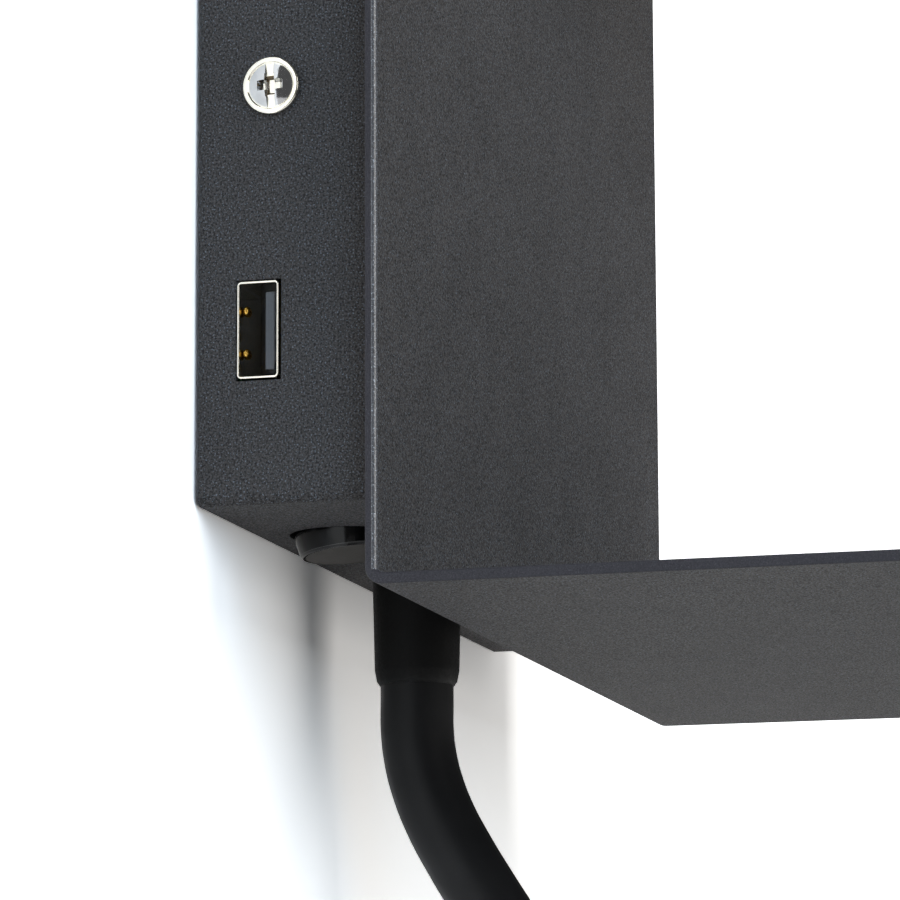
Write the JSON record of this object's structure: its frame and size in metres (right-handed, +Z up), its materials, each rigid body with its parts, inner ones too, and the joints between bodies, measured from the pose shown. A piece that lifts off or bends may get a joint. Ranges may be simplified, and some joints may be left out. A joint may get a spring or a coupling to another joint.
{
  "type": "wall lamp with shelf",
  "caption": "Wall reading lamp with a folded steel shelf, tilting and swivelling spot head, charging socket, rocker switch and mains cord",
  "frame": {"origin": "centre of the wall plate's back face, on the wall", "axes": "+Y into the wall, -Y out into the room, +Z up, +X to the right seen from the room"},
  "size_m": [0.1812, 0.155, 0.5491],
  "materials": {
    "powder_coat": "graphite powder coat, fine grain",
    "zinc_steel": "zinc plated steel",
    "nickel_steel": "bright nickel plated steel",
    "spring_steel": "plain spring steel",
    "socket_plastic": "moulded, matt",
    "gold_contact": "gold plated strip",
    "circuit_board": "printed board with green resist",
    "transformer_tape": "winding under yellow tape",
    "capacitor_sleeve": "shrunk sleeve",
    "switch_plastic": "glossy moulded plastic",
    "rocker_plastic": "matt face, glossy side",
    "ivory_plastic": "moulded, matt",
    "driver_plastic": "moulded, fine texture",
    "clamp_nylon": "moulded nylon",
    "sleeve_rubber": "soft moulded rubber, matt",
    "cord_jacket": "extruded jacket, satin",
    "wire_brown": "extruded insulation",
    "wire_blue": "extruded insulation",
    "wire_black": "extruded insulation",
    "wire_red": "extruded insulation",
    "lamp_black": "black powder coat",
    "sink_aluminium": "machined aluminium",
    "led_board_white": "white resist on aluminium",
    "led_phosphor": "yellow phosphor under silicone",
    "reflector_metal": "vacuum metallised",
    "lens_glass": "clear lens",
    "plug_plastic": "moulded PVC, satin"
  },
  "bodies": {
    "base": {"wall_plate": "zinc_steel", "housing": "powder_coat", "shelf_plate": "powder_coat", "weld_studs": "zinc_steel", "stud_nuts": "zinc_steel", "side_screws": "nickel_steel", "usb_shell": "nickel_steel", "usb_insulator": "socket_plastic", "usb_contacts": "gold_contact", "usb_board": "circuit_board", "usb_transformer": "transformer_tape", "usb_capacitor": "capacitor_sleeve", "board_pillars": "zinc_steel", "board_screws": "nickel_steel", "switch_frame": "switch_plastic", "switch_nuts": "zinc_steel", "switch_block": "switch_plastic", "terminal_block": "ivory_plastic", "led_driver": "driver_plastic", "driver_screws": "nickel_steel", "clamp_saddle": "clamp_nylon", "clamp_strap": "clamp_nylon", "clamp_screws": "nickel_steel", "cord_sleeve": "sleeve_rubber", "cord_inner": "cord_jacket", "mains_wires": "wire_brown", "driver_wires": "wire_blue", "switch_wires": "wire_black", "usb_wires": "wire_red", "head_lead": "wire_black", "rosette": "lamp_black", "swivel_bush": "nickel_steel", "bush_nut": "zinc_steel", "cord_free": "cord_jacket", "cord_coil": "cord_jacket", "coil_tie": "clamp_nylon", "plug_body": "plug_plastic", "plug_pins": "nickel_steel", "plug_clips": "nickel_steel"},
    "arm": {"stem": "lamp_black", "stem_clip": "spring_steel", "tilt_pin": "nickel_steel", "tilt_nut": "nickel_steel", "tilt_washers": "spring_steel"},
    "head": {"shade_cap": "lamp_black", "lamp_shade": "lamp_black", "heat_sink": "sink_aluminium", "led_board": "led_board_white", "led_chip": "led_phosphor", "reflector": "reflector_metal", "lens": "lens_glass", "lens_ring": "lamp_black"},
    "rocker": {"switch_rocker": "rocker_plastic", "switch_spring": "spring_steel"}
  },
  "joints": [
    {"name": "head_swivel", "type": "hinge", "parent": "base", "child": "arm", "pos_m": [0, -0.0686, 0.09], "axis": [0, 1, 0], "range_deg": [-170, 170]},
    {"name": "head_tilt", "type": "hinge", "parent": "arm", "child": "head", "pos_m": [0, -0.0686, 0.09], "axis": [-1, 0, 0], "range_deg": [0, 90]},
    {"name": "switch_rock", "type": "hinge", "parent": "base", "child": "rocker", "pos_m": [-0.0476, -0.0125, -0.11], "axis": [1, 0, 0], "range_deg": [0, 11.6]}
  ]
}
